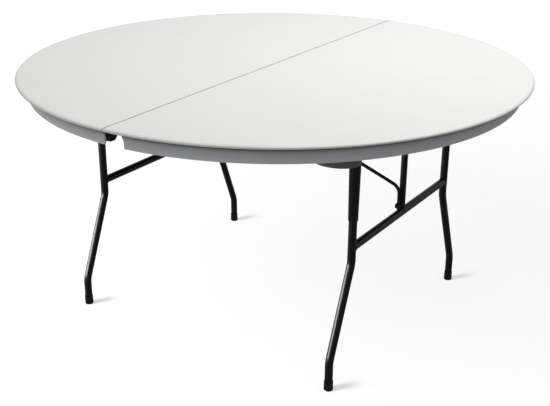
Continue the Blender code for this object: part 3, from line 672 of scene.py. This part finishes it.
# The leg sleeves: a tapered tube pushed over the top of the leg on the brace rod's side of each
# frame, wider at the top, with rolled ends. The foot caps: ribbed black rubber caps with a chamfered sole.
TUBE_PLAY = 0.0003
SLEEVE_WALL = 0.002
SLEEVE_ROLL = 0.0009
CAP_TRIM = 0.0008
CAP_RIBS = 4
CAP_RIB_DEPTH = 0.00035
CAP_ROLL = 0.001
CAP_FLOOR = 0.005
SOLE_CHAMFER = 0.0015
SOLE_RISE = 0.0008
SOLE_EDGE = 0.0055
SOLE_STEP = 0.0005


def turned(radius, height, centre, sides=48):
    """Rings about an upright line: each has its radius, which may vary round it, and its height."""
    radius, height = np.array(radius, float), np.array(height, float)
    radius = radius[:, None] if radius.ndim == 1 else radius
    way = np.linspace(0, 2 * np.pi, sides, endpoint=False)
    return np.stack([centre[0] + radius * np.cos(way), centre[1] + radius * np.sin(way),
                     height[:, None] + 0 * radius * way], -1)


def sleeve_grid(sign):
    """A closed profile: up the tapered outside, over a half circle, down the bore and round again."""
    low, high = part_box("leg_sleeve_front_right")
    top_radius = (high.x - low.x) / 2
    foot_radius = tube_radius + SLEEVE_WALL
    inside = tube_radius + TUBE_PLAY
    sweep = np.linspace(0, math.pi / 2, 5)
    taper = np.linspace(0, 1, 12)
    up = np.linspace(low.z + SLEEVE_ROLL, high.z - SLEEVE_ROLL, 12)
    radius = np.concatenate([foot_radius - SLEEVE_ROLL * (1 - np.sin(sweep)),
                             foot_radius + (top_radius - foot_radius) * taper,
                             top_radius - SLEEVE_ROLL * (1 - np.cos(sweep)), [inside, inside],
                             [foot_radius - SLEEVE_ROLL]])
    height = np.concatenate([low.z + SLEEVE_ROLL * (1 - np.cos(sweep)), up,
                             high.z - SLEEVE_ROLL * (1 - np.sin(sweep)), [high.z, low.z], [low.z]])
    return turned(radius, height, (frame_x, sign * leg_y))


def cap_grid(sign):
    """A profile from the middle of the sole, round the chamfer, up the ribbed wall, over the rolled
    top and down inside to the cap's floor; a rib is a raised cosine of the height."""
    low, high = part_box("foot_cap_front_right")
    outer = (high.x - low.x) / 2 - CAP_TRIM
    inside = tube_radius + TUBE_PLAY
    wall = np.linspace(low.z + SOLE_CHAMFER, high.z - CAP_ROLL, 41)
    share = np.linspace(0, 1, 41)
    ribs = outer - CAP_RIB_DEPTH * (1 - np.cos(2 * math.pi * CAP_RIBS * share)) * (share > 0.3)
    sweep = np.linspace(0, math.pi / 2, 5)[1:]
    dished, floor_height = low.z + SOLE_RISE, low.z + CAP_FLOOR
    sole = [0, outer - SOLE_EDGE - SOLE_STEP, outer - SOLE_EDGE, outer - SOLE_CHAMFER]
    radius = np.concatenate([sole, ribs, outer - CAP_ROLL * (1 - np.cos(sweep)), [inside, inside, 0]])
    height = np.concatenate([[dished, dished, low.z, low.z], wall, high.z - CAP_ROLL * (1 - np.sin(sweep)),
                             [high.z, floor_height, floor_height]])
    return turned(radius, height, (frame_x, sign * foot_y))


boots = []
for end, half, sign, flip in PLACES:
    tag = f"{end}_{half}"
    dressings = [("foot_boot", "foot_cap", cap_grid(sign), rubber, "black_rubber")]
    if sign < 0:
        dressings.append(("sleeve", "leg_sleeve", sleeve_grid(sign), black_coat, "black_steel"))
    for name, node, grid, finish, slot in dressings:
        piece = show(f"{name}_{tag}", skin(f"{name}_{tag}", grid * flip, caps=False), finish)
        if name == "foot_boot":
            boots.append(piece)
        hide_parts(f"{node}_{tag}")
        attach(piece, f"{half}_leg_frame")

floor_lamp.light_linking.blocker_collection = linked("feet", boots)

# The hinge blocks: a drafted oval boss in grey plastic, flat on the side of the leg and hollowed a
# little underneath, on a screwed flange. A washer on the pivot tube keeps the leg off the block.
block_low, block_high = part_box("hinge_block_back_right")
BLOCK_FACE = 0.314
BLOCK_MIDDLE = 0.350
BLOCK_DRAFT = 0.008
BLOCK_MARGIN = 0.016
FLANGE_THICK = 0.006
FLANGE_EDGE = 0.0008
BLOCK_ROUND = 0.005
BLOCK_FILLET = 0.004
HOLLOW_INSETS = (0.0115, 0.0105, 0.009, 0.0075, 0.0055)
HOLLOW_RISES = (0.006, 0.006, 0.0055, 0.001, 0, 0)
SOFT_CUT = 0.003
WASHER_RADIUS = 0.0165
WASHER_PLAY = 0.0004
WASHER_ROUND = 0.0008
WASHER_GAP = 0.0056
WASHER_SEAT = 0.0006
block_x = (block_low.x + block_high.x) / 2
block_reach = (block_high.x - block_low.x) / 2 - BLOCK_DRAFT - BLOCK_MARGIN
block_width = 0.8 * block_reach


def block_grid(sign):
    """Ovals of a half length and half width less an inset, at rising heights: the hollow's floor, its
    wall, the rim, a quarter circle, the drafted side, the fillet and the flange. Towards the leg an
    oval is cut flat by a soft maximum."""
    sweep = np.linspace(0, math.pi / 2, 7)
    low, high = block_low.z, block_high.z
    flange = high - FLANGE_THICK
    side_top = flange - BLOCK_FILLET
    side = np.linspace(low + BLOCK_ROUND, side_top, 12)[1:]
    draft = -BLOCK_DRAFT / (high - low)
    rim = -BLOCK_DRAFT - BLOCK_MARGIN
    inset = np.concatenate([
        [block_width], HOLLOW_INSETS, BLOCK_ROUND * (1 - np.sin(sweep)), draft * (side - low),
        draft * (side_top - low) - BLOCK_FILLET * (1 - np.cos(sweep[1:])),
        [rim + FLANGE_EDGE, rim, rim, block_width]])
    height = np.concatenate([
        low + np.array(HOLLOW_RISES), low + BLOCK_ROUND * (1 - np.cos(sweep)), side,
        side_top + BLOCK_FILLET * np.sin(sweep[1:]), [flange, flange + FLANGE_EDGE, high, high]])
    way = np.linspace(0, 2 * np.pi, 96, endpoint=False)
    inset, height = inset[:, None], height[:, None]
    share = np.where(inset >= block_width, 0.0, 1.0)
    east = share * (block_reach - inset) * np.cos(way)
    north = share * (block_width - inset) * np.sin(way)
    cut = BLOCK_FACE - BLOCK_MIDDLE + np.maximum(inset, 0) * share
    north = np.where(share > 0, (north + cut + np.sqrt((north - cut) ** 2 + SOFT_CUT ** 2)) / 2, 0)
    return np.stack([block_x + east, sign * (BLOCK_MIDDLE + north), height + 0 * way], -1)


def washer_grid(sign):
    """A flat ring about the pivot tube's axis, its bore a little wider than the tube and its outer
    edges rounded."""
    near, far = leg_y + tube_radius + WASHER_GAP, BLOCK_FACE + WASHER_SEAT
    bore = tube_radius + WASHER_PLAY
    edge = WASHER_RADIUS - WASHER_ROUND
    radius = np.array([bore, edge, WASHER_RADIUS, WASHER_RADIUS, edge, bore, bore])[:, None]
    along = np.array([near, near, near + WASHER_ROUND, far - WASHER_ROUND, far, far, near])[:, None]
    way = np.linspace(0, 2 * np.pi, 40, endpoint=False)
    return np.stack([frame_x + radius * np.cos(way), sign * along + 0 * way,
                     pivot_height + radius * np.sin(way)], -1)


# The blocks' grey plastic is darker here than on the skirts: painted shade under the table top
boss_finish = Finish("shade_darkened_moulding", (0.06, 0.064, 0.066), 0.5, Specular_IOR_Level=0.3)
boss_finish.feed("Base Color", boss_finish.mixed(
    boss_finish.noise(40.0, 4.0), rgb(0.05, 0.054, 0.056), rgb(0.082, 0.087, 0.089)))
boss_finish.feed("Roughness", boss_finish.noise(60.0, 3.0) * 0.16 + 0.42)
boss_finish.raised(boss_finish.noise(1100.0, 2.0), 0.0002, 0.5)
for end, half, sign, flip in PLACES:
    tag = f"{end}_{half}"
    block = show(f"boss_{tag}", skin(f"boss_{tag}", block_grid(sign) * flip, caps=False), boss_finish, 50)
    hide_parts(f"hinge_block_{tag}")
    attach(block, "table")
    washer = show(f"washer_{tag}", skin(f"washer_{tag}", washer_grid(sign) * flip, caps=False), zinc)
    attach(washer, "table")

# The screws and bolts: zinc plated, each with a domed head, a six-sided socket and a plain shank.
HEAD_RADIUS = 0.0058
SHANK_RADIUS = 0.0029
HEAD_HEIGHT = 0.004
SOCKET_RADIUS = 0.0026
SOCKET_DEPTH = 0.0022
SOCKET_EDGE = 0.0003
SOCKET_CHAMFER = 0.0002
DOME_START = 0.25
DOME_RISE = 0.0026
SCREW_SIDES = 48


def screw_grid(node):
    """Rings from the socket's floor, down its wall, over the dome, up the rim and the shank; a socket
    ring's radius is that of a six-sided figure."""
    low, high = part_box(node)
    centre = (low + high) / 2
    way = np.linspace(0, 2 * np.pi, SCREW_SIDES, endpoint=False)
    hexagon = SOCKET_RADIUS * math.cos(math.pi / 6) / np.cos(way % (math.pi / 3) - math.pi / 6)
    even = np.ones(SCREW_SIDES)
    sweep = np.linspace(DOME_START, math.pi / 2, 7)
    radius = np.concatenate([
        [0 * even, hexagon, hexagon, hexagon + SOCKET_EDGE], HEAD_RADIUS * np.sin(sweep)[1:, None] * even,
        [HEAD_RADIUS * even, SHANK_RADIUS * even, SHANK_RADIUS * even, 0 * even]])
    seat = low.z + HEAD_HEIGHT
    dome = low.z + DOME_RISE * (1 - np.cos(sweep[1:]))
    height = np.concatenate([
        [low.z + SOCKET_DEPTH, low.z + SOCKET_DEPTH, low.z + SOCKET_CHAMFER, low.z], dome,
        [seat, seat, high.z, high.z]])
    return turned(radius, height, (centre.x, centre.y))


for subpart in frame["record"]["subparts"]:
    node = subpart["node"]
    if "bolt" in node or node.startswith("screw"):
        screw = show(f"turned_{node}", skin(f"turned_{node}", screw_grid(node), caps=False), zinc)
        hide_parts(node)
        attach(screw, "table")

# The brace rods: each is one thin black coated steel rod, with an eye that turns on its pin at the
# top and a bend to upright at the foot, where the clip on the centre post holds it.
rod_low, rod_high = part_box("brace_rod_right")
ROD_RADIUS = 0.005
EYE_RADIUS = 0.009
PIN_RADIUS = 0.0043
EYE_HALF = 0.007
BEND_RISE = 0.0682
BEND_RADIUS = 0.035
ROD_START = 0.75
EYE_ROUND = 0.0016


def rod_grid():
    """A round bar along its bent path; the plane of the path gives the rings' first direction."""
    pin = np.array([0, rod_low.y + EYE_HALF, rod_high.z - EYE_RADIUS])
    foot = np.array([rod_high.x - ROD_RADIUS, rod_high.y - ROD_RADIUS, rod_low.z])
    knee = foot + np.array([0, 0, BEND_RISE])
    start = pin + (knee - pin) / np.linalg.norm(knee - pin) * EYE_RADIUS * ROD_START
    normal = np.cross(knee - pin, foot - knee)
    path = bent_path([start, knee, foot], BEND_RADIUS, 16, 10)
    return swept(path, ROD_RADIUS, normal / np.linalg.norm(normal), 28)


def eye_grid():
    """A thick ring about the pin: its section is a box with its outer corners rounded."""
    sweep = np.linspace(0, math.pi / 2, 5)
    radius = np.concatenate([[PIN_RADIUS], EYE_RADIUS - EYE_ROUND * (1 - np.sin(sweep)),
                             EYE_RADIUS - EYE_ROUND * (1 - np.cos(sweep)), [PIN_RADIUS, PIN_RADIUS]])
    along = np.concatenate([[-EYE_HALF], -EYE_HALF + EYE_ROUND * (1 - np.cos(sweep)),
                            EYE_HALF - EYE_ROUND * (1 - np.sin(sweep)), [EYE_HALF, -EYE_HALF]])
    way = np.linspace(0, 2 * np.pi, 36, endpoint=False)
    radius, along = radius[:, None], along[:, None]
    centre_y, centre_z = rod_low.y + EYE_HALF, rod_high.z - EYE_RADIUS
    return np.stack([radius * np.cos(way), centre_y + along + 0 * way, centre_z + radius * np.sin(way)], -1)


for half, flip in HALF_TURN.items():
    rod = show(f"bent_rod_{half}", skin(f"bent_rod_{half}", rod_grid() * flip), black_coat)
    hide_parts(f"brace_rod_{half}")
    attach(rod, f"{half}_brace")
    eye = show(f"rod_eye_{half}", skin(f"rod_eye_{half}", eye_grid() * flip, caps=False), black_coat)
    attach(eye, f"{half}_brace")
